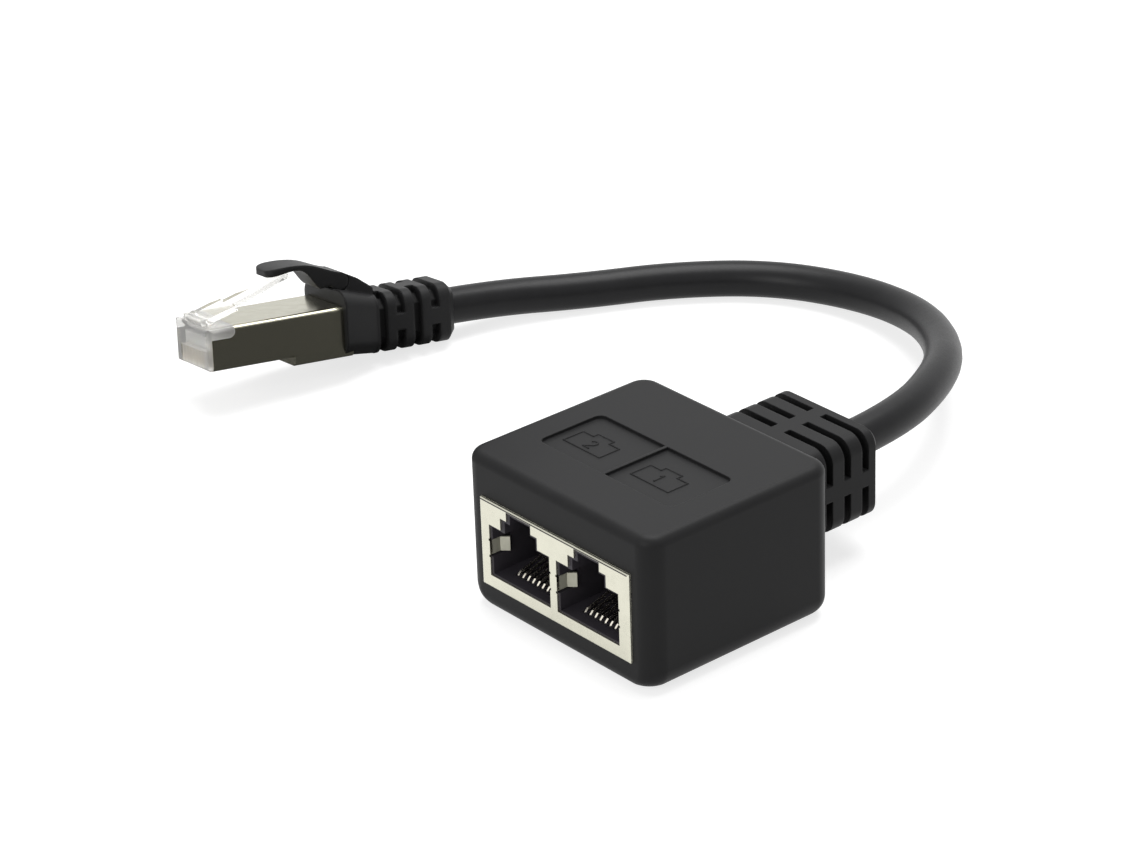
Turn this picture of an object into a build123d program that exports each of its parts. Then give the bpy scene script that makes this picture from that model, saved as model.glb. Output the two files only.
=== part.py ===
from build123d import *
import os
from math import cos, radians, sin, tan

# Network port splitter: a moulded block with two shielded 8P8C sockets on its front,
# and a short patch cable that ends in a shielded 8P8C plug with a latch guard.
# Millimetres. +Z is up, the sockets face -Y and the cable leaves along +Y.
# The origin is the centre of the block's base.

os.makedirs("parts", exist_ok=True)

# Moulded block
block_width = 38.0
block_length = 33.1
block_height = 23.4
upright_edge_radius = 3.0
top_edge_radius = 1.5
bottom_side_radius = 3.5
bottom_end_radius = 2.0
block_rear_wall = 3.5

# Label recess on top of the block: two shallow fields with a thin bar between them
label_field_width = 13.2
label_field_length = 11.3
label_bar = 0.5
label_corner_radius = 1.2
label_depth = 0.45
label_centre_y = -2.15

# Slotted strain relief behind the block
relief_width = 19.5
relief_height = 13.6
relief_length = 17.6
relief_corner_radius = 2.5
relief_end_chamfer = 0.7
relief_end_rib = 2.0
relief_rows = 3
relief_pitch = 3.45
relief_slot = 1.25
relief_slot_depth = 2.2
relief_bridge = 2.45

# Twin socket: the folded shield, its openings and its earthing fingers
sheet = 0.3
jack_width = 30.4
jack_height = 13.34
jack_depth = 15.5
jack_bottom_z = 4.18
jack_proud = 0.55
jack_fold_radius = 0.4
port_pitch = 13.97
port_sill = 1.99
opening_width = 12.57
opening_height = 7.83
opening_step_width = 7.69
opening_step_height = 9.66
opening_notch_width = 5.11
finger_height = 2.15
finger_rise = 3.1
finger_leg = 1.9
finger_leaf = 1.0
finger_relief = 0.35
finger_relief_depth = 0.2

# Socket insert: cavity, key way, finger pockets and contact comb
plug_running_gap = 0.2
cavity_height = 7.2
cavity_depth = 12.6
key_width = 6.5
key_rise = 1.75
key_slot_width = 4.2
key_slot_rise = 3.1
finger_gap = 0.1
finger_pocket_gap = 0.3
finger_pocket_depth = 3.3
comb_width = 11.5
comb_front_gap = 1.5
comb_rise = 1.92
comb_floor = 0.67
comb_groove = 0.6

# Socket contacts: along the comb, up at its front, over a slanted nose and back to the tip
contact_count = 8
contact_pitch = 1.016
contact_width = 0.45
contact_thickness = 0.35
contact_front_gap = 1.9
contact_riser = 1.15
contact_nose = 0.8
contact_tip_setback = 10.2
contact_tip_rise = 3.55

# Board, inner mould and cores
board_width = 29.0
board_height = 12.6
board_thickness = 1.6
board_slot_gap = 0.1
mould_width = 33.0
mould_height = 18.0
mould_grip = 10.4
mould_rear_wall = 3.55
chamber_width = 24.0
chamber_height = 11.0
core_diameter = 0.85
core_sides = 8
core_ring_radius = 1.9
core_straight = 2.0
pad_pitch = 2.54
pad_row_rise = 2.6
jacket_stub = 1.0

# Cable
cable_diameter = 5.8
bore_gap = 0.1

# Plug, measured along its own axes: s from the nose to the cable, w across, h towards the latch
plug_width = 11.7
plug_height = 6.65
plug_length = 21.4
plug_edge_radius = 0.8
plug_nose_radius = 1.0
plug_lip_radius = 0.5
plug_shield_start = 0.6
plug_shield_length = 24.4
plug_shoulder_end = 4.5
plug_shoulder_height = 4.9
plug_shoulder_radius = 1.0
plug_step_start = 14.4
plug_step_drop = 1.35
blade_window_end = 8.2
blade_window_width = 10.0
blade_slot_width = 0.5
blade_slot_end = 7.3
blade_slot_top = 2.95
blade_thickness = 0.32
blade_recess = 0.45
blade_front = 0.6
blade_length = 6.3
blade_top = 2.9
load_bar_start = 2.8
load_bar_end = 9.0
load_bar_width = 9.2
load_bar_bottom = 2.3
load_bar_top = 4.7
load_bar_groove = 0.9
load_bar_groove_top = 3.8
throat_width = 9.8
throat_start = 11.5
throat_slope_end = 15.0
throat_front_bottom = 0.8
throat_bottom = -0.65
throat_top = 5.65
plug_jacket_start = 19.2
barrel_wall = 0.4
barrel_length = 4.2

# Plug latch
latch_root = (1.9, 7.25)
latch_root_radius = 0.6
latch_knee = (8.9, 9.35)
latch_tip = (16.2, 11.95)
latch_shoulder = 6.5
latch_thickness = 0.9
latch_root_width = 6.0
latch_tip_width = 3.25
latch_gap = 0.2
latch_block_rise = 1.05
latch_block_front = 0.35

# Boot and its latch guard
boot_front = 23.0
boot_collar_end = 29.4
boot_end = 43.6
collar_width = 13.6
collar_height = 10.2
collar_bottom = -1.2
boot_axis_h = 2.4
boot_edge_radius = 2.2
tail_width = 9.2
tail_height = 9.4
tail_end_chamfer = 1.2
boot_slot_start = 29.9
boot_slots = 4
boot_slot_pitch = 3.05
boot_slot = 1.5
boot_slot_depth = 1.2
boot_bridge = 2.6
spine_end = 31.1
guard_width = 5.6
guard_hinge = (24.3, 9.9)
guard_knuckle_radius = 1.45
guard_gap = 0.15
guard_tip_radius = 1.9

# Side view of the guard and of the spine behind it, in s and h
guard_tip_top = (13.1, 13.1)
guard_crest = ((14.8, 13.45), (17.0, 13.45), (19.8, 13.0), (21.9, 12.2))
guard_back = (24.85, 11.24)
guard_heel = (23.0, 9.5)
guard_neck = (20.9, 9.25)
guard_hollow = ((19.9, 10.4), (19.0, 11.6), (18.0, 12.45), (16.5, 12.7), (15.0, 12.45))
guard_tip_bottom = (13.2, 12.15)
spine_crest = (27.3, 10.0)
spine_foot = (29.4, 8.5)
spine_sink = 0.2

# Where the plug lies: centre of the lower edge of its nose, and its three turns
plug_nose = (-93.31, -9.41, 7.05)
plug_heading = 80.83
plug_pitch = 5.81
plug_roll = -10.5

# Places that follow from the sizes above
front_y = -block_length / 2
back_y = block_length / 2
jack_front_y = front_y - jack_proud
jack_back_y = jack_front_y + jack_depth
jack_top_z = jack_bottom_z + jack_height
jack_centre_z = jack_bottom_z + jack_height / 2
port_floor_z = jack_bottom_z + port_sill
insert_front_y = jack_front_y + sheet
insert_bottom_z = jack_bottom_z + sheet
comb_top_z = insert_bottom_z + comb_rise
comb_front_y = insert_front_y + comb_front_gap
board_back_y = jack_back_y + board_thickness
cable_z = jack_centre_z + 1.0
relief_end_y = back_y + relief_length
mould_front_y = jack_back_y - mould_grip
mould_back_y = back_y - block_rear_wall
chamber_back_y = mould_back_y - mould_rear_wall
jacket_end_y = chamber_back_y - jacket_stub
cable_radius = cable_diameter / 2
bore_radius = cable_radius + bore_gap
port_centres = {"left": -port_pitch / 2, "right": port_pitch / 2}
sides = (-1, 1)

plug = Plane(plug_nose).rotated((plug_heading, plug_pitch, plug_roll), ordering=Intrinsic.ZYX)


def in_plug(s, w, h):
    """The point with plug coordinates s, w and h."""
    return plug.origin + plug.x_dir * s + plug.y_dir * w + plug.z_dir * h


def plug_section(s):
    """Plane across the plug at s, drawn in w and h."""
    return Plane(in_plug(s, 0, 0), x_dir=plug.y_dir, z_dir=plug.x_dir)


def plug_side(w=0):
    """Upright plane along the plug at w, drawn in s and h."""
    return Plane(in_plug(0, w, 0), x_dir=plug.x_dir, z_dir=-plug.y_dir)


def rectangle(plane, width, height, centre=(0, 0), radius=0):
    """A filled rectangle on a plane, with rounded corners if a radius is given."""
    with BuildSketch(plane) as outline:
        with Locations(centre):
            if radius:
                RectangleRounded(width, height, radius)
            else:
                Rectangle(width, height)
    return outline.sketch


def disc(plane, radius, centre=(0, 0)):
    """A filled circle on a plane."""
    with BuildSketch(plane) as outline:
        with Locations(centre):
            Circle(radius)
    return outline.sketch


def insulated_core(*points):
    """One core of the cable along straight runs, mitred where they meet."""
    with BuildPart() as core:
        with BuildLine() as route:
            Polyline(*points)
        with BuildSketch(Plane(route.line @ 0, z_dir=route.line % 0)):
            RegularPolygon(core_diameter / 2, core_sides)
        sweep(transition=Transition.RIGHT)
    return core.part


def upright(y):
    """Plane across the block at y, drawn in x and z, facing the cable."""
    return Plane((0, y, 0), x_dir=(-1, 0, 0), z_dir=(0, 1, 0))


def export(piece, name):
    piece.label = name
    export_step(piece, f"parts/{name}.step")


# Housing: the overmould with its strain relief
with BuildPart() as housing:
    with BuildSketch():
        RectangleRounded(block_width, block_length, upright_edge_radius)
    extrude(amount=block_height)
    fillet(housing.faces().sort_by(Axis.Z)[-1].edges(), top_edge_radius)
    # the underside is rounded more along the sides than along the front and the rear
    for view, width, radius in (
        (Plane.XZ, block_width, bottom_side_radius),
        (Plane.YZ, block_length, bottom_end_radius),
    ):
        with BuildSketch(view):
            RectangleRounded(width, 2 * block_height, radius, align=(Align.CENTER, Align.MIN))
        extrude(amount=block_width, both=True, mode=Mode.INTERSECT)
    extrude(
        rectangle(upright(back_y), relief_width, relief_height, (0, cable_z), relief_corner_radius),
        amount=relief_length,
    )
    chamfer(housing.faces().sort_by(Axis.Y)[-1].edges(), relief_end_chamfer)
    # slots of the strain relief: each row has two on the top, two below and two on each side
    relief_rows_y = [
        relief_end_y - relief_end_rib - relief_slot / 2 - row * relief_pitch
        for row in range(relief_rows)
    ]
    flat_slot = relief_width / 2
    side_slot = relief_height / 2
    flat_places = [
        (side * (relief_bridge / 2 + flat_slot / 2), y) for side in sides for y in relief_rows_y
    ]
    side_places = [
        (y, cable_z + side * (relief_bridge / 2 + side_slot / 2))
        for side in sides
        for y in relief_rows_y
    ]
    for end in sides:
        with BuildSketch(Plane.XY.offset(cable_z + end * relief_height / 2)):
            with Locations(flat_places):
                Rectangle(flat_slot, relief_slot)
        extrude(amount=-end * relief_slot_depth, mode=Mode.SUBTRACT)
        with BuildSketch(Plane.YZ.offset(end * relief_width / 2)):
            with Locations(side_places):
                Rectangle(relief_slot, side_slot)
        extrude(amount=-end * relief_slot_depth, mode=Mode.SUBTRACT)
    # label recess
    with BuildSketch(Plane.XY.offset(block_height)):
        with Locations((0, label_centre_y)):
            RectangleRounded(2 * label_field_width + label_bar, label_field_length, label_corner_radius)
            Rectangle(label_bar, label_field_length, mode=Mode.SUBTRACT)
    extrude(amount=-label_depth, mode=Mode.SUBTRACT)
    # mouth for the socket, room for the inner mould and bore for the cable
    extrude(
        rectangle(upright(front_y), jack_width, jack_height, (0, jack_centre_z)),
        amount=mould_front_y - front_y,
        mode=Mode.SUBTRACT,
    )
    extrude(
        rectangle(upright(mould_front_y), mould_width, mould_height, (0, cable_z)),
        amount=mould_back_y - mould_front_y,
        mode=Mode.SUBTRACT,
    )
    extrude(
        disc(upright(mould_back_y), bore_radius, (0, cable_z)),
        amount=relief_end_y - mould_back_y,
        mode=Mode.SUBTRACT,
    )
export(housing.part, "housing")

# Inner mould: grips the rear of the socket and the board, and closes over the cores
with BuildPart() as inner_mould:
    extrude(
        rectangle(upright(mould_front_y), mould_width, mould_height, (0, cable_z)),
        amount=mould_back_y - mould_front_y,
    )
    extrude(
        rectangle(upright(mould_front_y), jack_width, jack_height, (0, jack_centre_z)),
        amount=jack_back_y - mould_front_y,
        mode=Mode.SUBTRACT,
    )
    extrude(
        rectangle(upright(jack_back_y), board_width, board_height, (0, jack_centre_z)),
        amount=board_thickness,
        mode=Mode.SUBTRACT,
    )
    extrude(
        rectangle(upright(board_back_y), chamber_width, chamber_height, (0, cable_z)),
        amount=chamber_back_y - board_back_y,
        mode=Mode.SUBTRACT,
    )
    extrude(
        disc(upright(chamber_back_y), bore_radius, (0, cable_z)),
        amount=mould_back_y - chamber_back_y,
        mode=Mode.SUBTRACT,
    )
export(inner_mould.part, "inner_mould")

# Jack shield: a folded box, open at the rear, with two keyed openings and earthing fingers
with BuildPart() as jack_shield:
    extrude(
        rectangle(upright(jack_front_y), jack_width, jack_height, (0, jack_centre_z)),
        amount=jack_depth,
    )
    fillet(jack_shield.faces().sort_by(Axis.Y)[0].edges(), jack_fold_radius)
    extrude(
        rectangle(
            upright(insert_front_y), jack_width - 2 * sheet, jack_height - 2 * sheet, (0, jack_centre_z)
        ),
        amount=jack_depth - sheet,
        mode=Mode.SUBTRACT,
    )
    notch_top_z = jack_top_z - sheet
    finger_z = port_floor_z + finger_rise + finger_height / 2
    for centre_x in port_centres.values():
        with BuildSketch(Plane.XZ.offset(-jack_front_y)):
            with Locations((centre_x, port_floor_z)):
                Rectangle(opening_width, opening_height, align=(Align.CENTER, Align.MIN))
                Rectangle(opening_step_width, opening_step_height, align=(Align.CENTER, Align.MIN))
                Rectangle(
                    opening_notch_width, notch_top_z - port_floor_z, align=(Align.CENTER, Align.MIN)
                )
            # relief cuts above and below the root of each finger
            relief_rise = (finger_height + finger_relief) / 2
            relief_places = [
                (centre_x + side * opening_width / 2, finger_z + end * relief_rise)
                for side in sides
                for end in sides
            ]
            with Locations(relief_places):
                Rectangle(2 * finger_relief_depth, finger_relief)
        extrude(amount=-sheet, mode=Mode.SUBTRACT)
        # each finger folds back at the edge of the opening and leans in at its end
        for side in sides:
            leg_x = centre_x + side * (opening_width + sheet) / 2
            leg_end_y = jack_front_y + finger_leg
            with BuildSketch(Plane.XY.offset(finger_z - finger_height / 2)):
                with BuildLine():
                    Polyline(
                        (leg_x, jack_front_y + sheet / 2),
                        (leg_x, leg_end_y),
                        (leg_x - side * finger_leaf, leg_end_y + finger_leaf),
                    )
                trace(line_width=sheet)
            extrude(amount=finger_height)
export(jack_shield.part, "jack_shield")

# Jack housing: the insert inside the shield, with a stepped cavity for each plug
with BuildPart() as jack_housing:
    insert_width = jack_width - 2 * sheet
    insert_height = jack_height - 2 * sheet
    extrude(
        rectangle(upright(insert_front_y), insert_width, insert_height, (0, jack_centre_z)),
        amount=jack_depth - sheet,
    )
    cavity_width = plug_width + plug_running_gap
    for centre_x in port_centres.values():
        with BuildSketch(Plane.XZ.offset(-insert_front_y)):
            with Locations((centre_x, comb_top_z)):
                bottom_middle = (Align.CENTER, Align.MIN)
                Rectangle(cavity_width, cavity_height, align=bottom_middle)
                Rectangle(key_width, cavity_height + key_rise, align=bottom_middle)
                Rectangle(key_slot_width, cavity_height + key_slot_rise, align=bottom_middle)
        extrude(amount=-cavity_depth, mode=Mode.SUBTRACT)
        # pockets for the fingers
        with BuildSketch(Plane.XZ.offset(-insert_front_y)):
            with Locations((centre_x, finger_z)):
                Rectangle(
                    opening_width + 2 * (sheet + finger_gap), finger_height + 2 * finger_pocket_gap
                )
        extrude(amount=-finger_pocket_depth, mode=Mode.SUBTRACT)
        # seat of the contact comb
        with BuildSketch(Plane.XZ.offset(-comb_front_y)):
            with Locations((centre_x, insert_bottom_z)):
                Rectangle(comb_width, comb_rise, align=bottom_middle)
        extrude(amount=-(jack_back_y - comb_front_y), mode=Mode.SUBTRACT)
export(jack_housing.part, "jack_housing")

# Contact combs and socket contacts
contact_offsets = [(i - (contact_count - 1) / 2) * contact_pitch for i in range(contact_count)]
contact_z = insert_bottom_z + comb_floor + contact_thickness / 2
contact_places = []
for port, centre_x in port_centres.items():
    with BuildPart() as comb:
        with BuildSketch(Plane.XZ.offset(-comb_front_y)):
            with Locations((centre_x, insert_bottom_z)):
                Rectangle(comb_width, comb_rise, align=(Align.CENTER, Align.MIN))
            grooves = [(centre_x + offset, insert_bottom_z + comb_floor) for offset in contact_offsets]
            with Locations(grooves):
                Rectangle(
                    comb_groove, comb_rise, align=(Align.CENTER, Align.MIN), mode=Mode.SUBTRACT
                )
        extrude(amount=-(jack_back_y - comb_front_y))
    export(comb.part, f"contact_insert_{port}")

    for number, offset in enumerate(contact_offsets, start=1):
        contact_x = centre_x + offset
        contact_places.append((contact_x, contact_z))
        contact_front_y = insert_front_y + contact_front_gap
        nose_z = contact_z + contact_riser
        with BuildPart() as contact:
            with BuildSketch(Plane.YZ.offset(contact_x)):
                with BuildLine():
                    Polyline(
                        (board_back_y, contact_z),
                        (contact_front_y, contact_z),
                        (contact_front_y, nose_z),
                        (contact_front_y + contact_nose, nose_z + contact_nose),
                        (insert_front_y + contact_tip_setback, contact_z + contact_tip_rise),
                    )
                trace(line_width=contact_thickness)
            extrude(amount=contact_width / 2, both=True)
        export(contact.part, f"{port}_contact_{number}")

# Board, with a plated slot for each contact
with BuildPart() as board:
    extrude(
        rectangle(upright(jack_back_y), board_width, board_height, (0, jack_centre_z)),
        amount=board_thickness,
    )
    with BuildSketch(Plane.XZ.offset(-jack_back_y)):
        with Locations(contact_places):
            Rectangle(contact_width + board_slot_gap, contact_thickness + board_slot_gap)
    extrude(amount=-board_thickness, mode=Mode.SUBTRACT)
export(board.part, "splitter_board")

# Cores from the board to the cable
half_row = contact_count // 2
for number in range(1, contact_count + 1):
    row, column = divmod(number - 1, half_row)
    rise = (1, -1)[row]
    pad_x = (column - (half_row - 1) / 2) * pad_pitch
    pad_z = cable_z + rise * pad_row_rise
    angle = radians(180 - (column + 0.5) * 180 / half_row)
    ring_x = core_ring_radius * cos(angle)
    ring_z = cable_z + rise * core_ring_radius * sin(angle)
    core = insulated_core(
        (pad_x, board_back_y, pad_z),
        (pad_x, board_back_y + core_straight, pad_z),
        (ring_x, jacket_end_y - core_straight, ring_z),
        (ring_x, jacket_end_y, ring_z),
    )
    export(core, f"wire_{number}")

# Cable end inside the strain relief
with BuildPart() as cable_inner_end:
    extrude(
        disc(upright(jacket_end_y), cable_radius, (0, cable_z)), amount=relief_end_y - jacket_end_y
    )
export(cable_inner_end.part, "cable_inner_end")

# Free stretch of the cable: straight out, down to the surface, round behind the block to the plug
boot_mouth = in_plug(boot_end, 0, boot_axis_h)
cable_points = [
    Vector(0, relief_end_y, cable_z),
    Vector(0, 47.5, cable_z),
    Vector(-8.2, 64.8, 10.4),
    Vector(-19.4, 76.7, 7.4),
    Vector(-33.0, 85.0, 4.9),
    Vector(-47.9, 86.4, 3.4),
    Vector(-62.0, 80.9, 2.95),
    Vector(-72.3, 69.3, 2.95),
    Vector(-79.3, 56.0, 2.95),
    boot_mouth + plug.x_dir * 9.0,
    boot_mouth,
]
runs = [after - before for before, after in zip(cable_points, cable_points[1:])]
cable_radii = [
    0.45 * min(run.length, after.length) / tan(radians(run.get_angle(after) / 2))
    for run, after in zip(runs, runs[1:])
]
with BuildPart() as cable:
    with BuildLine() as cable_route:
        FilletPolyline(*cable_points, radius=cable_radii)
    with BuildSketch(Plane(cable_route.line @ 0, z_dir=cable_route.line % 0)):
        Circle(cable_radius)
    sweep()
export(cable.part, "cable")
cable_length = sum(edge.length for edge in cable_route.edges())
print("cable bend radii:", [round(radius, 1) for radius in cable_radii])
print("cable length:", round(cable_length, 1))

# Plug shield: a folded shell with a stepped underside, a rear wall and a crimp barrel
rear_height = plug_height + plug_step_drop
rear_centre = (0, (plug_height - plug_step_drop) / 2)
front_centre = (0, plug_height / 2)
barrel_radius = bore_radius + barrel_wall
inner_radius = plug_edge_radius - sheet
with BuildPart() as plug_shield:
    extrude(
        rectangle(plug_section(plug_shield_start), plug_width, plug_height, front_centre, plug_edge_radius),
        amount=plug_step_start + sheet - plug_shield_start,
    )
    extrude(
        rectangle(plug_section(plug_step_start), plug_width, rear_height, rear_centre, plug_edge_radius),
        amount=plug_shield_length - plug_step_start,
    )
    extrude(
        rectangle(
            plug_section(plug_shield_start),
            plug_width - 2 * sheet,
            plug_height - 2 * sheet,
            front_centre,
            inner_radius,
        ),
        amount=plug_step_start + sheet - plug_shield_start,
        mode=Mode.SUBTRACT,
    )
    extrude(
        rectangle(
            plug_section(plug_step_start + sheet),
            plug_width - 2 * sheet,
            rear_height - 2 * sheet,
            rear_centre,
            inner_radius,
        ),
        amount=plug_shield_length - 2 * sheet - plug_step_start,
        mode=Mode.SUBTRACT,
    )
    extrude(disc(plug_section(plug_shield_length), barrel_radius, (0, boot_axis_h)), amount=barrel_length)
    extrude(
        disc(plug_section(plug_shield_length - sheet), bore_radius, (0, boot_axis_h)),
        amount=barrel_length + sheet,
        mode=Mode.SUBTRACT,
    )
    # the clear shoulders show through this cut at the front of the top and of both sides
    with BuildSketch(plug_side()):
        with Locations((0, plug_shoulder_height)):
            RectangleRounded(
                2 * plug_shoulder_end,
                plug_height,
                plug_shoulder_radius,
                align=(Align.CENTER, Align.MIN),
            )
    extrude(amount=plug_width, both=True, mode=Mode.SUBTRACT)
    extrude(
        rectangle(plug_section(0), blade_window_width, 2 * sheet),
        amount=blade_window_end,
        mode=Mode.SUBTRACT,
    )
export(plug_shield.part, "plug_shield")

# Plug body: fills the shield, flush with it where the shield is cut away
blade_offsets = contact_offsets
with BuildPart() as plug_body:
    extrude(
        rectangle(plug_section(0), plug_width, plug_height, front_centre, plug_edge_radius),
        amount=plug_length,
    )
    # the nose is rounded in plan and in side view
    front_middle = (Align.MIN, Align.CENTER)
    with BuildSketch(plug):
        RectangleRounded(2 * plug_length, plug_width, plug_nose_radius, align=front_middle)
    extrude(amount=plug_height, mode=Mode.INTERSECT)
    with BuildSketch(plug_side()):
        with Locations((0, plug_height / 2)):
            RectangleRounded(2 * plug_length, plug_height, plug_lip_radius, align=front_middle)
    extrude(amount=plug_width / 2, both=True, mode=Mode.INTERSECT)
    extrude(
        rectangle(plug_section(plug_step_start), plug_width, rear_height, rear_centre, plug_edge_radius),
        amount=plug_length - plug_step_start,
    )
    # raised root of the latch, with the saddle that its living hinge sits in
    extrude(
        rectangle(
            plug_section(latch_block_front),
            latch_root_width,
            latch_block_rise,
            (0, plug_height + latch_block_rise / 2),
        ),
        amount=latch_root[0] - latch_block_front,
    )
    extrude(
        disc(plug_side(), latch_root_radius + latch_gap, latch_root),
        amount=latch_root_width / 2 + latch_gap,
        both=True,
        mode=Mode.SUBTRACT,
    )
    add(plug_shield.part, mode=Mode.SUBTRACT)
    # slots for the blades, seat of the load bar and throat for the cores and the jacket
    with BuildSketch(plug_section(0)):
        with Locations([(offset, 0) for offset in blade_offsets]):
            Rectangle(blade_slot_width, 2 * blade_slot_top)
    extrude(amount=blade_slot_end, mode=Mode.SUBTRACT)
    extrude(
        rectangle(
            plug_section(load_bar_start),
            load_bar_width,
            load_bar_top - load_bar_bottom,
            (0, (load_bar_top + load_bar_bottom) / 2),
        ),
        amount=throat_start - load_bar_start,
        mode=Mode.SUBTRACT,
    )
    throats = [
        (throat_start, throat_slope_end, load_bar_width, throat_front_bottom),
        (throat_slope_end, plug_length, throat_width, throat_bottom),
    ]
    for start, end, width, bottom in throats:
        throat_middle = (0, (throat_top + bottom) / 2)
        extrude(
            rectangle(plug_section(start), width, throat_top - bottom, throat_middle),
            amount=end - start,
            mode=Mode.SUBTRACT,
        )
export(plug_body.part, "plug_body")

# Plug latch: hinges at its root, wide up to its locking shoulders and narrow beyond them
latch_slope = (latch_knee[1] - latch_root[1]) / (latch_knee[0] - latch_root[0])
shoulder_h = latch_root[1] + (latch_shoulder - latch_root[0]) * latch_slope
with BuildPart() as plug_latch:
    with BuildSketch(plug_side()):
        with BuildLine():
            Polyline(latch_root, latch_knee, latch_tip)
        trace(line_width=latch_thickness)
    extrude(amount=latch_tip_width / 2, both=True)
    with BuildSketch(plug_side()):
        with BuildLine():
            Line(latch_root, (latch_shoulder, shoulder_h))
        trace(line_width=latch_thickness)
        with Locations(latch_root):
            Circle(latch_root_radius)
    extrude(amount=latch_root_width / 2, both=True)
export(plug_latch.part, "plug_latch")

# Load bar: a comb that holds the cores over the blades
with BuildPart() as load_bar:
    with BuildSketch(plug_section(load_bar_start)):
        with Locations((0, load_bar_bottom)):
            Rectangle(
                load_bar_width, load_bar_top - load_bar_bottom, align=(Align.CENTER, Align.MIN)
            )
        with Locations([(offset, load_bar_bottom) for offset in blade_offsets]):
            Rectangle(
                load_bar_groove,
                load_bar_groove_top - load_bar_bottom,
                align=(Align.CENTER, Align.MIN),
                mode=Mode.SUBTRACT,
            )
    extrude(amount=load_bar_end - load_bar_start)
export(load_bar.part, "plug_load_bar")

# Blades and cores of the plug
core_h = load_bar_groove_top - core_diameter / 2
for number, offset in enumerate(blade_offsets, start=1):
    with BuildPart() as blade:
        extrude(
            rectangle(
                plug_section(blade_front),
                blade_thickness,
                blade_top - blade_recess,
                (offset, (blade_top + blade_recess) / 2),
            ),
            amount=blade_length,
        )
    export(blade.part, f"plug_contact_{number}")

    # neighbours go to opposite halves of the ring, so that no two cores cross
    half = sides[number % 2]
    angle = half * radians(180 - (number - 0.5) * 180 / contact_count)
    ring_w = core_ring_radius * cos(angle)
    ring_h = boot_axis_h + core_ring_radius * sin(angle)
    core = insulated_core(
        in_plug(load_bar_start + 0.4, offset, core_h),
        in_plug(load_bar_end + 1.5, offset, core_h),
        in_plug(plug_jacket_start - core_straight, ring_w, ring_h),
        in_plug(plug_jacket_start, ring_w, ring_h),
    )
    export(core, f"plug_wire_{number}")

# Cable end inside the plug and its boot
with BuildPart() as cable_plug_end:
    extrude(
        disc(plug_section(plug_jacket_start), cable_radius, (0, boot_axis_h)),
        amount=boot_end - plug_jacket_start,
    )
export(cable_plug_end.part, "cable_plug_end")

# Boot: a collar round the rear of the shield, a slotted tail and a saddle for the latch guard
tail_centre = (0, boot_axis_h)
with BuildPart() as plug_boot:
    # the collar narrows and drops towards the tail
    with BuildSketch(plug_side()):
        with BuildLine():
            Polyline(
                (boot_front, collar_bottom),
                (boot_collar_end, boot_axis_h - tail_height / 2),
                (boot_collar_end, boot_axis_h + tail_height / 2),
                (boot_front, collar_bottom + collar_height),
                close=True,
            )
        make_face()
    extrude(amount=collar_width / 2, both=True)
    with BuildSketch(plug):
        with BuildLine():
            Polyline(
                (boot_front, -collar_width / 2),
                (boot_collar_end, -tail_width / 2),
                (boot_collar_end, tail_width / 2),
                (boot_front, collar_width / 2),
                close=True,
            )
        make_face()
    extrude(amount=2 * collar_height, both=True, mode=Mode.INTERSECT)
    long_edges = [edge for edge in plug_boot.edges() if abs((edge % 0).dot(plug.x_dir)) > 0.5]
    fillet(long_edges, boot_edge_radius)
    extrude(
        rectangle(
            plug_section(boot_collar_end), tail_width, tail_height, tail_centre, boot_edge_radius
        ),
        amount=boot_end - boot_collar_end,
    )
    chamfer(
        plug_boot.faces().sort_by(Axis(plug.origin, plug.x_dir))[-1].edges(), tail_end_chamfer
    )
    # spine that carries on the guard's back down to the tail
    spine_bottom = boot_axis_h + tail_height / 2 - spine_sink
    with BuildSketch(plug_side()):
        with BuildLine():
            Polyline(
                guard_hinge,
                guard_back,
                spine_crest,
                spine_foot,
                (spine_end, spine_bottom),
                (guard_hinge[0], spine_bottom),
                close=True,
            )
        make_face()
    extrude(amount=guard_width / 2, both=True)
    # slots of the tail: the odd rows are open at the sides, the even rows above and below
    with BuildSketch() as slot_core:
        with Locations(tail_centre):
            Rectangle(tail_width - 2 * boot_slot_depth, tail_height - 2 * boot_slot_depth)
        chamfer(slot_core.vertices(), boot_slot_depth)
    for row in range(boot_slots):
        with BuildSketch(plug_section(boot_slot_start + row * boot_slot_pitch)):
            with Locations(tail_centre):
                Rectangle(2 * tail_width, 2 * tail_height)
            add(slot_core.sketch_local, mode=Mode.SUBTRACT)
            with Locations(tail_centre):
                if row % 2:
                    Rectangle(2 * tail_width, boot_bridge, mode=Mode.SUBTRACT)
                else:
                    Rectangle(boot_bridge, 2 * tail_height, mode=Mode.SUBTRACT)
        extrude(amount=boot_slot, mode=Mode.SUBTRACT)
    # room for the shield, its barrel and the cable
    extrude(
        rectangle(plug_section(boot_front), plug_width, rear_height, rear_centre, plug_edge_radius),
        amount=plug_shield_length - boot_front,
        mode=Mode.SUBTRACT,
    )
    extrude(
        disc(plug_section(plug_shield_length), barrel_radius, tail_centre),
        amount=barrel_length,
        mode=Mode.SUBTRACT,
    )
    extrude(
        disc(plug_section(plug_shield_length + barrel_length), bore_radius, tail_centre),
        amount=boot_end - plug_shield_length - barrel_length,
        mode=Mode.SUBTRACT,
    )
    # saddle that the guard turns in
    extrude(
        disc(plug_side(), guard_knuckle_radius + guard_gap, guard_hinge),
        amount=guard_width / 2 + guard_gap,
        both=True,
        mode=Mode.SUBTRACT,
    )
export(plug_boot.part, "plug_boot")

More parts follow.
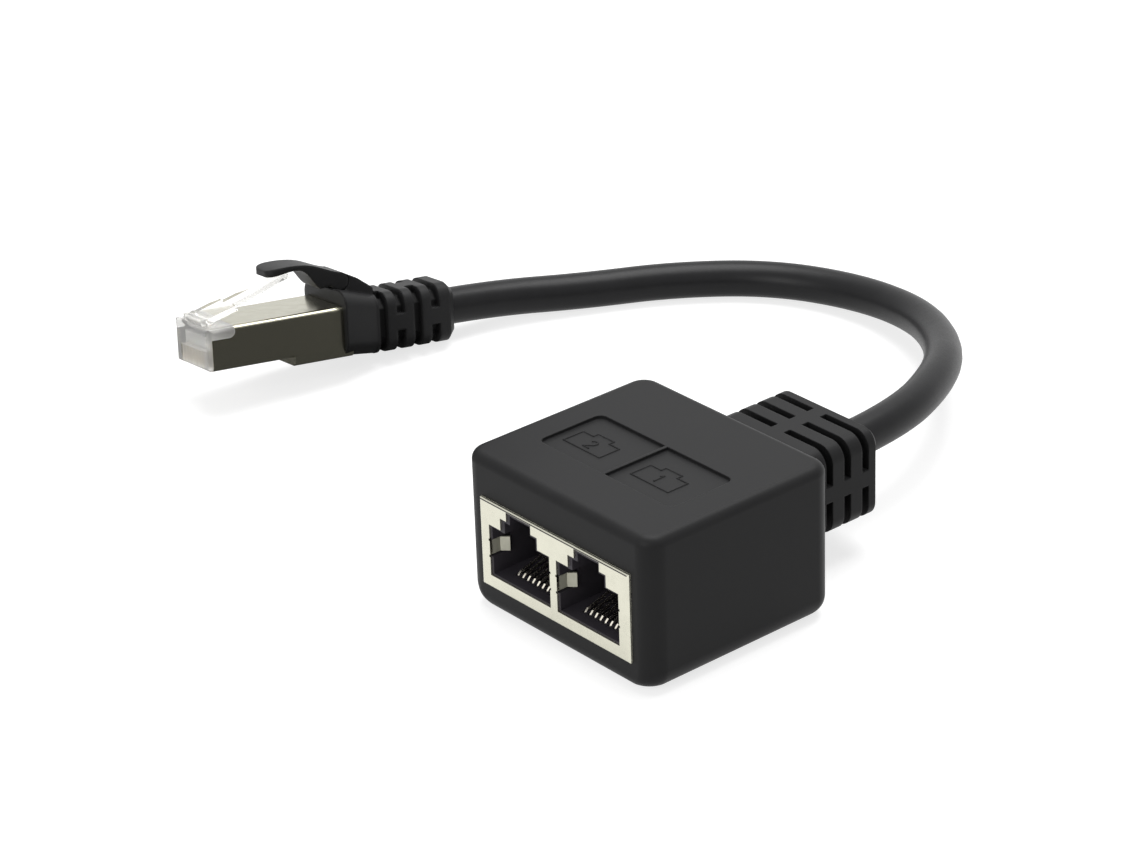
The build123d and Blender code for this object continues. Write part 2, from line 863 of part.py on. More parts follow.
# Latch guard: a curved finger from the boot over the tip of the latch
with BuildPart() as boot_arm:
    with BuildSketch(plug_side()):
        with BuildLine():
            Spline(guard_tip_top, *guard_crest, guard_back)
            Polyline(guard_back, guard_hinge, guard_heel, guard_neck)
            Spline(guard_neck, *guard_hollow, guard_tip_bottom)
            Line(guard_tip_bottom, guard_tip_top)
        make_face()
        with Locations(guard_hinge):
            Circle(guard_knuckle_radius)
    extrude(amount=guard_width / 2, both=True)
    # the tip is rounded in plan
    with BuildSketch(plug):
        with Locations((guard_tip_top[0], 0)):
            RectangleRounded(boot_end, guard_width, guard_tip_radius, align=front_middle)
    extrude(amount=2 * guard_tip_top[1], mode=Mode.INTERSECT)
export(boot_arm.part, "boot_arm")
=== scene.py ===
"""Looks of the network port splitter: a black moulded block with two shielded sockets,
a short round cable and a shielded clear plug with a guarded latch, on a plain pale floor."""

import math

import bmesh
import bpy
from mathutils import Matrix, Vector


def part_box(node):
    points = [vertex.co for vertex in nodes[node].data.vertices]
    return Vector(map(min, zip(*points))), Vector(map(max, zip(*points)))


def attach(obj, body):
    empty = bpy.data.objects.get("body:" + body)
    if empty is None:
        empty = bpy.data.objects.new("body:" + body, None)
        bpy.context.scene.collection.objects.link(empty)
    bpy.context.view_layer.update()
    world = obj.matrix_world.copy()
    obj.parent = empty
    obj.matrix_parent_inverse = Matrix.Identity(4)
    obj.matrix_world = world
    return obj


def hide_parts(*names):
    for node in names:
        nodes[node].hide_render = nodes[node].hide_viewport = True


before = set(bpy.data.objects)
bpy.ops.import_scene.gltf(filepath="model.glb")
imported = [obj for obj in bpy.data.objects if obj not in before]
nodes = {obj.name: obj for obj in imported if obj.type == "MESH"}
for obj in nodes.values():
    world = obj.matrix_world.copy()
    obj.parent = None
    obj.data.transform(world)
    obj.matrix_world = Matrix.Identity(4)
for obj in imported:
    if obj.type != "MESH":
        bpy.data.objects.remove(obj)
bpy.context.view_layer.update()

MM = 0.001
ROOT = "adapter"

# Camera of the photograph
CAMERA_AZIMUTH = math.radians(50.30)
CAMERA_ELEVATION = math.radians(26.95)
CAMERA_ROLL = math.radians(-1.98)
CAMERA_DISTANCE = 533.7 * MM
CAMERA_TARGET = Vector((-15.98, 0.0, 21.64)) * MM
CAMERA_LENS = 122.7
SENSOR_WIDTH = 36.0

# Cable: its route lies where the solid's does
CABLE_DIAMETER = 5.8 * MM
CABLE_ROUTE = [
    (0.0, 34.15, 11.85),
    (0.0, 47.5, 11.85),
    (-8.2, 64.8, 10.4),
    (-19.4, 76.7, 7.4),
    (-33.0, 85.0, 4.9),
    (-47.9, 86.4, 3.4),
    (-62.0, 80.9, 2.95),
    (-72.3, 69.3, 2.95),
    (-79.3, 56.0, 2.95),
    (-85.36, 42.56, 4.07),
    (-86.79, 33.72, 4.98),
]

# Underside of the block, in millimetres: its edges' radii, and the corners' where they meet
BLOCK_HALF_WIDTH = 19.0
BLOCK_HALF_LENGTH = 16.55
BOTTOM_SIDE_RADIUS = 3.5
BOTTOM_END_RADIUS = 2.0
UPRIGHT_RADIUS = 3.0
# The tray that carves them: its rim, its foot, its wall and its clearance from the flat sides
CUTTER_TOP = 4.2
CUTTER_FOOT = -1.0
CUTTER_REACH = 4.0
CUTTER_MARGIN = 0.01
ARC_STEPS = 12

# Guard over the latch: how far its tip reaches beyond the solid's, between which places along
# the plug it is drawn out, and its softened edges
PLUG_NOSE = Vector((-93.31, -9.41, 7.05))
PLUG_AXIS = Vector((0.158546, 0.982149, -0.10123))
GUARD_REACH = 0.9
GUARD_STRETCH_START = 17.0
GUARD_STRETCH_END = 13.5
GUARD_EDGE = 0.55
GUARD_EDGE_SEGMENTS = 4
GUARD_EDGE_ANGLE = math.radians(50)
GUARD_FLAT_ANGLE = math.radians(1.0)

# Socket contacts: narrower than the solids, and with a nose that is lower and shorter. The nose
# lies between these y and above this z, and its foot and its top each shift on their own
SPRING_NARROWING = 0.66
SPRING_NOSE_FRONT = -15.2
SPRING_NOSE_BACK = -13.5
SPRING_NOSE_FOOT = 6.0
SPRING_NOSE_TOP = 6.95
SPRING_FOOT_SHIFT = (0.0, 0.35, -0.45)
SPRING_TOP_SHIFT = (0.0, 0.1, -0.68)

# Lip of the comb in front of them
COMB_LIP = 0.4
COMB_LIP_INSET = 0.02
COMB_LIP_FOOT = 0.6
COMB_LIP_EDGE = 0.06

# Seam of the folded shield, along the top of its face, drawn as a dark bead: painted shade in the
# seam's crevice
SEAM_DIAMETER = 0.15
SEAM_DROP = 0.2
SEAM_INSET = 0.05

# Colours, linear
BLACK_PVC = (0.016, 0.016, 0.0165)
JACKET_PVC = (0.0075, 0.0075, 0.0082)
SOCKET_BLACK = (0.042, 0.038, 0.046)
NICKEL_FACE = (0.62, 0.61, 0.51)
# The shell's nickel is darker than the face's: partly its own plating, partly painted shade for
# the dark surroundings its sides reflect
NICKEL_SHELL = (0.45, 0.435, 0.34)
GOLD = (0.90, 0.76, 0.52)
# The socket springs' gold is paler than the plug contacts': painted highlight for their glint
SPRING_PLATING = (0.93, 0.88, 0.76)
CLEAR = (0.98, 0.975, 0.95)
BOARD_GREEN = (0.02, 0.12, 0.05)
MOULD_IVORY = (0.62, 0.60, 0.52)
# Core insulation in wiring order
CORE_COLOURS = [
    (0.80, 0.62, 0.45),
    (0.80, 0.22, 0.03),
    (0.62, 0.76, 0.58),
    (0.03, 0.10, 0.45),
    (0.58, 0.66, 0.80),
    (0.03, 0.30, 0.07),
    (0.66, 0.56, 0.46),
    (0.20, 0.09, 0.04),
]

# Plated sheet inside the socket, behind its flat face: painted shade darkens its colour there, and
# it is rougher
RECESS_LIMIT_Y = -16.7
RECESS_BLEND = 0.1
RECESS_SHADE_TINT = (0.80, 0.80, 0.81, 1.0)
RECESS_ROUGHER = 0.42

# Places of the sockets of Blender's colour mix node
MIX_FACTOR, MIX_FIRST, MIX_SECOND, MIX_RESULT = 0, 6, 7, 2

# Pictograms in the label recess: a plain socket outline with its key, and a plain number
LABEL_FLOOR = 22.95
PICTOGRAM_STROKE = 0.28
PICTOGRAM_WIDTH = 7.4
PICTOGRAM_HEIGHT = 3.6
PICTOGRAM_KEY_WIDTH = 3.2
PICTOGRAM_KEY_HEIGHT = 0.9
PICTOGRAM_CENTRES = {"2": (-8.1, -2.9), "1": (5.7, -2.9)}
DIGITS = {
    "1": [(-0.45, 0.55), (0.0, 1.0), (0.0, -1.0)],
    "2": [(-0.6, 0.6), (-0.3, 1.0), (0.3, 1.0), (0.6, 0.6), (0.5, 0.1), (-0.6, -1.0), (0.6, -1.0)],
}

# Studio
FLOOR_SIZE = 6.0
FLOOR_ALBEDO = 0.42
FLOOR_GLOW = 0.74
WORLD_LIGHT = 0.34
# The flag stands at FLAG_X and lies on the floor from there to FLAG_UNDER_X
FLAG_X = -60 * MM
FLAG_UNDER_X = -106 * MM
FLAG_FRONT = -30 * MM
FLAG_BACK = 30 * MM
FLAG_BOTTOM = 0.2 * MM
FLAG_TOP = 45 * MM
FLAG_GREY = 0.10
# Softboxes: place, size in metres and power in watts
LIT_POINT = (-0.04, 0.03, 0.01)
SOFTBOXES = {
    "top_softbox": ((-0.15, 0.25, 0.9), 0.7, 10.0),
    "front_softbox": ((0.15, -0.9, 0.45), 0.5, 3.0),
}


def new_tree(name):
    """A material with an empty node tree, and that tree."""
    material = bpy.data.materials.new(name)
    material.use_nodes = True
    tree = material.node_tree
    tree.nodes.clear()
    return material, tree


def add_node(tree, kind, settings=None, **inputs):
    """A new node with its own settings and input values; an input may be another node's output."""
    node = tree.nodes.new(kind)
    for key, value in (settings or {}).items():
        setattr(node, key, value)
    for key, value in inputs.items():
        socket = node.inputs[key.replace("_", " ")]
        if isinstance(value, bpy.types.NodeSocket):
            tree.links.new(value, socket)
        elif isinstance(value, tuple) and socket.type == "RGBA" and len(value) == 3:
            socket.default_value = (*value, 1.0)
        else:
            socket.default_value = value
    return node


def ramp(tree, source, stops):
    """A colour ramp over a factor; stops are (place, colour or grey)."""
    node = add_node(tree, "ShaderNodeValToRGB", Fac=source)
    elements = node.color_ramp.elements
    while len(elements) < len(stops):
        elements.new(0.5)
    for element, (place, colour) in zip(elements, stops):
        element.position = place
        grey = not isinstance(colour, tuple)
        element.color = (colour, colour, colour, 1.0) if grey else (*colour, 1.0)
    return node.outputs["Color"]


def place(tree, scale=(1.0, 1.0, 1.0)):
    """Object coordinates in millimetres, stretched by a scale."""
    coordinates = tree.nodes.new("ShaderNodeTexCoord")
    mapping = tree.nodes.new("ShaderNodeMapping")
    mapping.inputs["Scale"].default_value = [s / MM for s in scale]
    tree.links.new(coordinates.outputs["Object"], mapping.inputs["Vector"])
    return mapping.outputs["Vector"]


def seen_rays(tree):
    """1 for camera, glossy and transmission rays, and 0 for those that light the object."""
    rays = tree.nodes.new("ShaderNodeLightPath")
    seen = rays.outputs["Is Camera Ray"]
    for kind in ("Is Glossy Ray", "Is Transmission Ray"):
        either = add_node(tree, "ShaderNodeMath", {"operation": "MAXIMUM"})
        tree.links.new(seen, either.inputs[0])
        tree.links.new(rays.outputs[kind], either.inputs[1])
        seen = either.outputs[0]
    return seen


def add_object(name, data):
    """A new object in the scene's collection."""
    made = bpy.data.objects.new(name, data)
    bpy.context.scene.collection.objects.link(made)
    return made


def finish_material(tree, shader):
    output = tree.nodes.new("ShaderNodeOutputMaterial")
    tree.links.new(shader.outputs[0], output.inputs["Surface"])


def shade(colour, factor):
    return tuple(min(1.0, c * factor) for c in colour)


def moulded_plastic(
    name, colour, roughness=0.45, grain=0.06, grain_size=0.35, patch=0.12, specular=0.5, edge=0.0
):
    """Moulded plastic: fine spark-eroded grain, slow changes of tone and gloss, softened edges."""
    material, tree = new_tree(name)
    where = place(tree)
    fine = add_node(
        tree, "ShaderNodeTexNoise", Vector=where, Scale=1.0 / grain_size, Detail=3.0, Roughness=0.6
    )
    slow = add_node(
        tree, "ShaderNodeTexNoise", Vector=where, Scale=0.09, Detail=4.0, Roughness=0.55
    )
    tone = ramp(
        tree,
        slow.outputs["Fac"],
        [(0.3, shade(colour, 1.0 - patch)), (0.7, shade(colour, 1.0 + patch))],
    )
    gloss = add_node(
        tree,
        "ShaderNodeMapRange",
        Value=slow.outputs["Fac"],
        From_Min=0.3,
        From_Max=0.7,
        To_Min=roughness - 0.04,
        To_Max=roughness + 0.05,
    )
    bump = add_node(
        tree, "ShaderNodeBump", Height=fine.outputs["Fac"], Strength=grain, Distance=0.05 * MM
    )
    if edge:
        soft = add_node(tree, "ShaderNodeBevel", {"samples": 4}, Radius=edge * MM)
        tree.links.new(soft.outputs["Normal"], bump.inputs["Normal"])
    shader = add_node(
        tree,
        "ShaderNodeBsdfPrincipled",
        Base_Color=tone,
        Roughness=gloss.outputs["Result"],
        Normal=bump.outputs["Normal"],
    )
    shader.inputs["Specular IOR Level"].default_value = specular
    finish_material(tree, shader)
    return material


def cable_jacket(name, colour):
    """Extruded jacket: a little glossier, and faintly uneven from what lies inside."""
    material, tree = new_tree(name)
    where = place(tree)
    swell, fine = (
        add_node(tree, "ShaderNodeTexNoise", Vector=where, Scale=scale, Detail=2.0, Roughness=0.5)
        for scale in (0.28, 6.0)
    )
    tone = ramp(
        tree, swell.outputs["Fac"], [(0.3, shade(colour, 0.88)), (0.7, shade(colour, 1.15))]
    )
    gloss = add_node(
        tree,
        "ShaderNodeMapRange",
        Value=fine.outputs["Fac"],
        From_Min=0.3,
        From_Max=0.7,
        To_Min=0.34,
        To_Max=0.44,
    )
    relief = add_node(
        tree, "ShaderNodeBump", Height=swell.outputs["Fac"], Strength=0.25, Distance=0.15 * MM
    )
    bump = add_node(
        tree,
        "ShaderNodeBump",
        Height=fine.outputs["Fac"],
        Strength=0.05,
        Distance=0.02 * MM,
        Normal=relief.outputs["Normal"],
    )
    shader = add_node(
        tree,
        "ShaderNodeBsdfPrincipled",
        Base_Color=tone,
        Roughness=gloss.outputs["Result"],
        Normal=bump.outputs["Normal"],
    )
    shader.inputs["Specular IOR Level"].default_value = 0.19
    finish_material(tree, shader)
    return material


def plated_metal(name, colour, roughness, grain_scale, scuff=0.05, shade_behind=None):
    """Plated sheet: fine rolling grain along one direction, slight tarnish and handling marks.

    What lies further back along y than the given limit, in millimetres, gets painted shade:
    its colour is darkened there, and it is rougher.
    """
    material, tree = new_tree(name)
    grain = add_node(
        tree,
        "ShaderNodeTexNoise",
        Vector=place(tree, grain_scale),
        Scale=1.0,
        Detail=3.0,
        Roughness=0.6,
    )
    cloud = add_node(
        tree, "ShaderNodeTexNoise", Vector=place(tree), Scale=0.5, Detail=5.0, Roughness=0.65
    )
    tone = ramp(
        tree,
        cloud.outputs["Fac"],
        [(0.3, shade(colour, 0.95)), (0.55, colour), (0.8, shade(colour, 1.03))],
    )
    gloss = add_node(
        tree,
        "ShaderNodeMapRange",
        Value=cloud.outputs["Fac"],
        From_Min=0.35,
        From_Max=0.7,
        To_Min=roughness + scuff,
        To_Max=roughness - scuff * 0.6,
    ).outputs["Result"]
    # Painted shade: further back, inside the socket, the colour is darkened and the sheet is
    # rougher
    if shade_behind is not None:
        axes = add_node(tree, "ShaderNodeSeparateXYZ", Vector=place(tree))
        behind = add_node(
            tree,
            "ShaderNodeMapRange",
            Value=axes.outputs["Y"],
            From_Min=shade_behind,
            From_Max=shade_behind + RECESS_BLEND,
        ).outputs["Result"]
        painted_shade = add_node(tree, "ShaderNodeMix", {"data_type": "RGBA", "blend_type": "MULTIPLY"})
        tree.links.new(behind, painted_shade.inputs[MIX_FACTOR])
        tree.links.new(tone, painted_shade.inputs[MIX_FIRST])
        painted_shade.inputs[MIX_SECOND].default_value = RECESS_SHADE_TINT
        tone = painted_shade.outputs[MIX_RESULT]
        rougher = add_node(tree, "ShaderNodeMath", {"operation": "MULTIPLY_ADD"})
        tree.links.new(behind, rougher.inputs[0])
        rougher.inputs[1].default_value = RECESS_ROUGHER
        tree.links.new(gloss, rougher.inputs[2])
        gloss = rougher.outputs[0]
    bump = add_node(
        tree, "ShaderNodeBump", Height=grain.outputs["Fac"], Strength=0.12, Distance=0.01 * MM
    )
    shader = add_node(
        tree,
        "ShaderNodeBsdfPrincipled",
        Base_Color=tone,
        Roughness=gloss,
        Normal=bump.outputs["Normal"],
    )
    shader.inputs["Metallic"].default_value = 1.0
    finish_material(tree, shader)
    return material


def clear_polymer(name, colour, transmission, ior):
    """Clear moulding with flow marks that bend what is seen through it."""
    material, tree = new_tree(name)
    flow = add_node(
        tree,
        "ShaderNodeTexNoise",
        Vector=place(tree, (0.4, 0.4, 1.0)),
        Scale=0.8,
        Detail=2.0,
        Roughness=0.4,
        Distortion=0.6,
    )
    gloss = add_node(
        tree,
        "ShaderNodeMapRange",
        Value=flow.outputs["Fac"],
        From_Min=0.3,
        From_Max=0.7,
        To_Min=0.05,
        To_Max=0.16,
    )
    bump = add_node(
        tree, "ShaderNodeBump", Height=flow.outputs["Fac"], Strength=0.10, Distance=0.10 * MM
    )
    shader = add_node(
        tree,
        "ShaderNodeBsdfPrincipled",
        Base_Color=colour,
        Roughness=gloss.outputs["Result"],
        Normal=bump.outputs["Normal"],
    )
    shader.inputs["Transmission Weight"].default_value = transmission
    shader.inputs["IOR"].default_value = ior
    finish_material(tree, shader)
    return material


def dress(material, names):
    """Gives the material to each CAD node."""
    for name in names:
        mesh = nodes[name].data
        mesh.materials.clear()
        mesh.materials.append(material)


# Camera
toward_camera = Vector(
    (
        math.sin(CAMERA_AZIMUTH) * math.cos(CAMERA_ELEVATION),
        -math.cos(CAMERA_AZIMUTH) * math.cos(CAMERA_ELEVATION),
        math.sin(CAMERA_ELEVATION),
    )
)
level_right = Vector((math.cos(CAMERA_AZIMUTH), math.sin(CAMERA_AZIMUTH), 0.0))
level_up = toward_camera.cross(level_right)
camera_right = level_right * math.cos(CAMERA_ROLL) + level_up * math.sin(CAMERA_ROLL)
camera_up = toward_camera.cross(camera_right)
camera_data = bpy.data.cameras.new("camera")
camera_data.sensor_width = SENSOR_WIDTH
camera_data.lens = CAMERA_LENS
camera_data.clip_start = 0.01
camera_data.clip_end = 10.0
camera = add_object("camera", camera_data)
camera.matrix_world = Matrix.Translation(CAMERA_TARGET + toward_camera * CAMERA_DISTANCE) @ Matrix(
    (camera_right, camera_up, toward_camera)
).transposed().to_4x4()
bpy.context.scene.camera = camera

# Materials of the solids
black_pvc = moulded_plastic("black_pvc", BLACK_PVC, specular=0.11, edge=0.3)
soft_pvc = moulded_plastic("soft_pvc", BLACK_PVC, specular=0.14, edge=0.55)
jacket = cable_jacket("cable_jacket", JACKET_PVC)
socket_black = moulded_plastic(
    "socket_black", SOCKET_BLACK, roughness=0.5, grain=0.04, specular=0.25
)
ivory = moulded_plastic("mould_ivory", MOULD_IVORY, roughness=0.55)
green = moulded_plastic("board_green", BOARD_GREEN, roughness=0.3, grain_size=0.8)
nickel_face = plated_metal(
    "nickel_face",
    NICKEL_FACE,
    roughness=0.24,
    grain_scale=(0.5, 6.0, 9.0),
    shade_behind=RECESS_LIMIT_Y,
)
nickel_shell = plated_metal(
    "nickel_shell", NICKEL_SHELL, roughness=0.20, grain_scale=(5.0, 0.6, 5.0)
)
gold = plated_metal("gold_plate", GOLD, roughness=0.22, grain_scale=(4.0, 4.0, 4.0))
spring_plating = plated_metal(
    "spring_plating", SPRING_PLATING, roughness=0.25, grain_scale=(4.0, 4.0, 4.0)
)
clear = clear_polymer("clear_polymer", CLEAR, transmission=0.74, ior=1.32)
clear_thin = clear_polymer("clear_thin", CLEAR, transmission=0.93, ior=1.16)

contact_numbers = range(1, 9)
dress(black_pvc, ["housing"])
dress(soft_pvc, ["plug_boot", "boot_arm"])
dress(jacket, ["cable_inner_end", "cable_plug_end"])
dress(socket_black, ["jack_housing", "contact_insert_left", "contact_insert_right"])
dress(ivory, ["inner_mould"])
dress(green, ["splitter_board"])
dress(nickel_face, ["jack_shield"])
dress(nickel_shell, ["plug_shield"])
dress(clear, ["plug_body", "plug_load_bar"])
dress(clear_thin, ["plug_latch"])
dress(gold, [f"{side}_contact_{n}" for side in ("left", "right", "plug") for n in contact_numbers])
for number, colour in zip(contact_numbers, CORE_COLOURS):
    core = moulded_plastic(f"core_{number}", colour, roughness=0.35, grain=0.02)
    dress(core, [f"wire_{number}", f"plug_wire_{number}"])

# Cable
curve = bpy.data.curves.new("cable_run", "CURVE")
curve.dimensions = "3D"
spline = curve.splines.new("NURBS")
spline.points.add(len(CABLE_ROUTE) - 1)
for point, (x, y, z) in zip(spline.points, CABLE_ROUTE):
    point.co = (x * MM, y * MM, z * MM, 1.0)
spline.order_u = 3
spline.use_endpoint_u = True
curve.resolution_u = 20
curve.bevel_depth = CABLE_DIAMETER / 2
curve.bevel_resolution = 10
curve.materials.append(jacket)
cable = add_object("cable_run", curve)
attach(cable, ROOT)
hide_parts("cable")


def round_line(name, points, diameter, material, closed=False):
    """A round wire or bead on the adapter's body, through points in millimetres."""
    data = bpy.data.curves.new(name, "CURVE")
    data.dimensions = "3D"
    line = data.splines.new("POLY")
    line.points.add(len(points) - 1)
    for point, (x, y, z) in zip(line.points, points):
        point.co = (x * MM, y * MM, z * MM, 1.0)
    line.use_cyclic_u = closed
    data.bevel_depth = diameter / 2 * MM
    data.bevel_resolution = 3
    data.use_fill_caps = True
    data.materials.append(material)
    made = add_object(name, data)
    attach(made, ROOT)
    return made


def remade(name, node):
    """An object with a copy of a solid's mesh, its seams joined."""
    mesh = nodes[node].data.copy()
    mesh.name = name
    normals = mesh.attributes.get("custom_normal")
    if normals:
        mesh.attributes.remove(normals)
    work = bmesh.new()
    work.from_mesh(mesh)
    bmesh.ops.remove_doubles(work, verts=work.verts, dist=0.0005 * MM)
    work.to_mesh(mesh)
    work.free()
    return add_object(name, mesh)


def settle(made, node, body, crease=math.radians(28)):
    """Applies the modifiers, shades smoothly up to a crease, and takes the solid's place."""
    bpy.context.view_layer.update()
    shaped = bpy.data.meshes.new_from_object(
        made.evaluated_get(bpy.context.evaluated_depsgraph_get())
    )
    made.modifiers.clear()
    made.data = shaped
    shaped.shade_smooth()
    shaped.set_sharp_from_angle(angle=crease)
    weighted = made.modifiers.new("even_shading", "WEIGHTED_NORMAL")
    weighted.keep_sharp = True
    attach(made, body)
    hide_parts(node)


def rounded_side(half, radius, z):
    """Half size at height z of a body whose bottom edge has this radius."""
    below = max(0.0, radius - z)
    return half - radius + math.sqrt(radius**2 - below**2)


def corner_cutter():
    """What surrounds the block's foot: a tray whose pocket has ball-like corners."""
    work = bmesh.new()
    heights = [
        BOTTOM_SIDE_RADIUS * (1 - math.cos(math.pi / 2 * step / ARC_STEPS))
        for step in range(ARC_STEPS + 1)
    ]
    rings = []
    for z in [*heights, CUTTER_TOP]:
        half_x = rounded_side(BLOCK_HALF_WIDTH, BOTTOM_SIDE_RADIUS, z) + CUTTER_MARGIN
        half_y = rounded_side(BLOCK_HALF_LENGTH, BOTTOM_END_RADIUS, z) + CUTTER_MARGIN
        ring = []
        for quarter in range(4):
            toward_x = 1 if quarter in (0, 3) else -1
            toward_y = 1 if quarter in (0, 1) else -1
            for step in range(ARC_STEPS + 1):
                turn = math.pi / 2 * (quarter + step / ARC_STEPS)
                x = toward_x * (half_x - UPRIGHT_RADIUS) + UPRIGHT_RADIUS * math.cos(turn)
                y = toward_y * (half_y - UPRIGHT_RADIUS) + UPRIGHT_RADIUS * math.sin(turn)
                ring.append(work.verts.new((x * MM, y * MM, (z - CUTTER_MARGIN) * MM)))
        rings.append(ring)
    count = len(rings[0])
    work.faces.new(rings[0])
    for lower, upper in zip(rings, rings[1:]):
        for i in range(count):
            j = (i + 1) % count
            work.faces.new((lower[i], lower[j], upper[j], upper[i]))
    rim = rings[-1]
    wide_x = (BLOCK_HALF_WIDTH + CUTTER_REACH) * MM
    wide_y = (BLOCK_HALF_LENGTH + CUTTER_REACH) * MM
    signs = [(1, 1), (-1, 1), (-1, -1), (1, -1)]
    top_z = (CUTTER_TOP - CUTTER_MARGIN) * MM
    top = [work.verts.new((sx * wide_x, sy * wide_y, top_z)) for sx, sy in signs]
    foot = [work.verts.new((sx * wide_x, sy * wide_y, CUTTER_FOOT * MM)) for sx, sy in signs]
    for quarter in range(4):
        following = (quarter + 1) % 4
        first = quarter * (ARC_STEPS + 1)
        for i in range(first, first + ARC_STEPS):
            work.faces.new((top[quarter], rim[i], rim[i + 1]))
        last = first + ARC_STEPS
        work.faces.new((top[quarter], rim[last], rim[(last + 1) % count], top[following]))
        work.faces.new((foot[quarter], foot[following], top[following], top[quarter]))
    work.faces.new(foot)
    bmesh.ops.recalc_face_normals(work, faces=work.faces)
    mesh = bpy.data.meshes.new("corner_cutter")
    work.to_mesh(mesh)
    work.free()
    return add_object("corner_cutter", mesh)


# Block: the solid's form, with its bottom corners rounded off
block = remade("block_mould", "housing")
cutter = corner_cutter()
carve = block.modifiers.new("round_corners", "BOOLEAN")
carve.operation = "DIFFERENCE"
carve.solver = "EXACT"
carve.object = cutter
settle(block, "housing", ROOT)
bpy.data.objects.remove(cutter)

# Guard: the solid's form, with softened edges and a slightly longer tip
guard = remade("latch_hood", "boot_arm")
for vertex in guard.data.vertices:
    along = (vertex.co / MM - PLUG_NOSE).dot(PLUG_AXIS)
    share = (GUARD_STRETCH_START - along) / (GUARD_STRETCH_START - GUARD_STRETCH_END)
    share = min(1.0, max(0.0, share))
    smooth_share = share**2 * (3 - 2 * share)
    vertex.co -= PLUG_AXIS * (GUARD_REACH * MM * smooth_share)
work = bmesh.new()
work.from_mesh(guard.data)
bmesh.ops.dissolve_limit(work, angle_limit=GUARD_FLAT_ANGLE, verts=work.verts, edges=work.edges)
work.to_mesh(guard.data)
work.free()
soften = guard.modifiers.new("soft_edges", "BEVEL")
soften.width = GUARD_EDGE * MM
soften.segments = GUARD_EDGE_SEGMENTS
soften.limit_method = "ANGLE"
soften.angle_limit = GUARD_EDGE_ANGLE
settle(guard, "boot_arm", "latch_guard")

# Cord: the names of the plug's solids at the cable's far end
plug_nodes = ["cable_plug_end"]
plug_nodes += [f"plug_{kind}" for kind in ("body", "latch", "shield", "load_bar", "boot")]
plug_nodes += [f"plug_{kind}_{n}" for kind in ("contact", "wire") for n in contact_numbers]

# Socket contacts, and the lip of the comb in front of them
for side in ("left", "right"):
    for number in contact_numbers:
        node = f"{side}_contact_{number}"
        spring = remade(f"spring_{side}_{number}", node)
        low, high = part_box(node)
        middle = (low[0] + high[0]) / 2
        for vertex in spring.data.vertices:
            vertex.co.x = middle + (vertex.co.x - middle) * SPRING_NARROWING
            y, z = vertex.co.y / MM, vertex.co.z / MM
            if SPRING_NOSE_FRONT < y < SPRING_NOSE_BACK and z > SPRING_NOSE_FOOT:
                on_top = z > SPRING_NOSE_TOP
                vertex.co += Vector(SPRING_TOP_SHIFT if on_top else SPRING_FOOT_SHIFT) * MM
        spring.data.materials.clear()
        spring.data.materials.append(spring_plating)
        settle(spring, node, ROOT)
    low, high = (Vector(corner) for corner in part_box(f"contact_insert_{side}"))
    inset = COMB_LIP_INSET * MM
    low += Vector((inset, inset, COMB_LIP_FOOT * MM))
    high = Vector((high.x - inset, low.y + COMB_LIP * MM, high.z - inset))
    work = bmesh.new()
    bmesh.ops.create_cube(work, size=1.0)
    for vertex in work.verts:
        vertex.co = [
            low[axis] + (vertex.co[axis] + 0.5) * (high[axis] - low[axis]) for axis in range(3)
        ]
    bmesh.ops.bevel(work, geom=work.edges, offset=COMB_LIP_EDGE * MM, segments=2, affect="EDGES")
    lip_mesh = bpy.data.meshes.new(f"comb_lip_{side}")
    work.to_mesh(lip_mesh)
    work.free()
    lip_mesh.materials.append(socket_black)
    lip = add_object(f"comb_lip_{side}", lip_mesh)
    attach(lip, ROOT)

# Seam of the shield: a dark bead, painted shade in the seam
low, high = (Vector(corner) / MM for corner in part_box("jack_shield"))
round_line(
    "shield_seam",
    [(x, low.y + SEAM_INSET, high.z - SEAM_DROP) for x in (low.x + SEAM_DROP, high.x - SEAM_DROP)],
    SEAM_DIAMETER,
    socket_black,
)

# Pictograms
half_width = PICTOGRAM_WIDTH / 2
half_height = PICTOGRAM_HEIGHT / 2
half_key = PICTOGRAM_KEY_WIDTH / 2
for digit, (x, y) in PICTOGRAM_CENTRES.items():
    outline = [
        (x - half_width, y - half_height),
        (x + half_width, y - half_height),
        (x + half_width, y + half_height),
        (x + half_key, y + half_height),
        (x + half_key, y + half_height + PICTOGRAM_KEY_HEIGHT),
        (x - half_key, y + half_height + PICTOGRAM_KEY_HEIGHT),
        (x - half_key, y + half_height),
        (x - half_width, y + half_height),
    ]
    figure = [(x + dx, y + dy) for dx, dy in DIGITS[digit]]
    for part, points in (("outline", outline), ("digit", figure)):
        round_line(
            f"pictogram_{part}_{digit}",
            [(px, py, LABEL_FLOOR) for px, py in points],
            PICTOGRAM_STROKE,
            black_pvc,
            closed=part == "outline",
        )

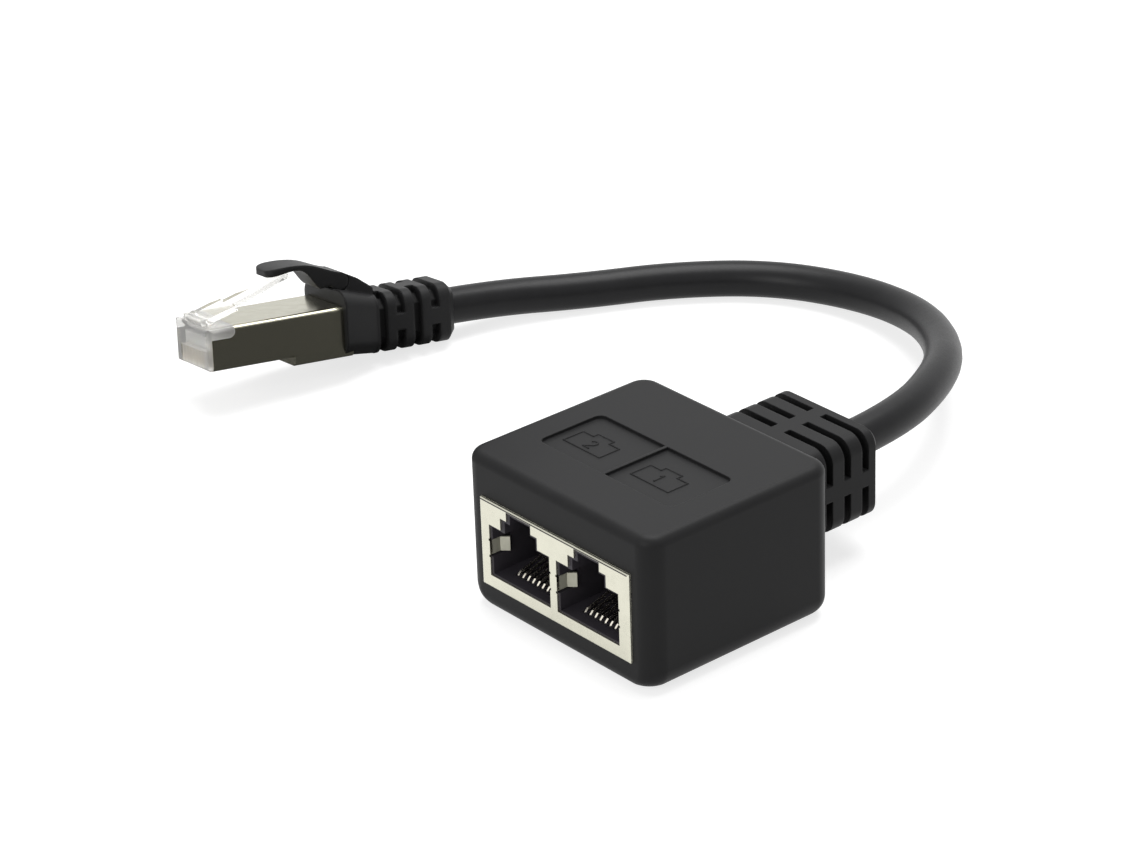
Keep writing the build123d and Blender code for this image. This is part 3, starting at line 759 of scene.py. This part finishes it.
# Floor: white in what the camera and the reflections see, and it keeps the shadow
floor_mesh = bpy.data.meshes.new("floor")
half_floor = FLOOR_SIZE / 2
corners = [(-1, -1), (1, -1), (1, 1), (-1, 1)]
corners = [(x * half_floor, y * half_floor, 0.0) for x, y in corners]
floor_mesh.from_pydata(corners, [], [(0, 1, 2, 3)])
floor = add_object("floor", floor_mesh)
floor_material, tree = new_tree("floor")
glow_level = add_node(tree, "ShaderNodeMath", {"operation": "MULTIPLY"})
tree.links.new(seen_rays(tree), glow_level.inputs[0])
glow_level.inputs[1].default_value = FLOOR_GLOW
matte = add_node(tree, "ShaderNodeBsdfDiffuse", Color=(FLOOR_ALBEDO,) * 3)
glow = add_node(tree, "ShaderNodeEmission", Color=(1.0, 1.0, 1.0), Strength=glow_level.outputs[0])
both = tree.nodes.new("ShaderNodeAddShader")
tree.links.new(matte.outputs[0], both.inputs[0])
tree.links.new(glow.outputs[0], both.inputs[1])
finish_material(tree, both)
floor_mesh.materials.append(floor_material)

# Flag: a grey folded card seen only in reflections, so that the plug's shell doesn't flare: a
# painted dark reflection in the shell's sides, and under the plug a painted shadow in the floor's
# reflection
flag_mesh = bpy.data.meshes.new("flag")
fold = [(FLAG_UNDER_X, FLAG_BOTTOM), (FLAG_X, FLAG_BOTTOM), (FLAG_X, FLAG_TOP)]
corners = [(x, y, z) for x, z in fold for y in (FLAG_FRONT, FLAG_BACK)]
flag_mesh.from_pydata(corners, [], [(0, 1, 3, 2), (2, 3, 5, 4)])
flag = add_object("flag", flag_mesh)
flag_material, tree = new_tree("flag")
card = add_node(tree, "ShaderNodeEmission", Color=(1.0, 1.0, 1.0), Strength=FLAG_GREY)
finish_material(tree, card)
flag_mesh.materials.append(flag_material)
for ray in ("camera", "diffuse", "transmission", "volume_scatter", "shadow"):
    setattr(flag, f"visible_{ray}", False)

# World: white behind the object, and a lower level where it lights it
world = bpy.data.worlds.new("world")
world.use_nodes = True
bpy.context.scene.world = world
tree = world.node_tree
tree.nodes.clear()
level = add_node(
    tree, "ShaderNodeMapRange", Value=seen_rays(tree), To_Min=WORLD_LIGHT, To_Max=1.0
)
background = add_node(
    tree, "ShaderNodeBackground", Color=(1.0, 1.0, 1.0), Strength=level.outputs["Result"]
)
output = tree.nodes.new("ShaderNodeOutputWorld")
tree.links.new(background.outputs[0], output.inputs["Surface"])


def softbox(name, location, size, power):
    """A square area light that faces the object; metres and watts."""
    data = bpy.data.lights.new(name, "AREA")
    data.shape = "SQUARE"
    data.size = size
    data.energy = power
    lamp = add_object(name, data)
    lamp.location = location
    aim = Vector(LIT_POINT) - Vector(location)
    lamp.rotation_euler = aim.to_track_quat("-Z", "Y").to_euler()


for name, (location, size, power) in SOFTBOXES.items():
    softbox(name, location, size, power)

bpy.context.scene.view_settings.view_transform = "Standard"
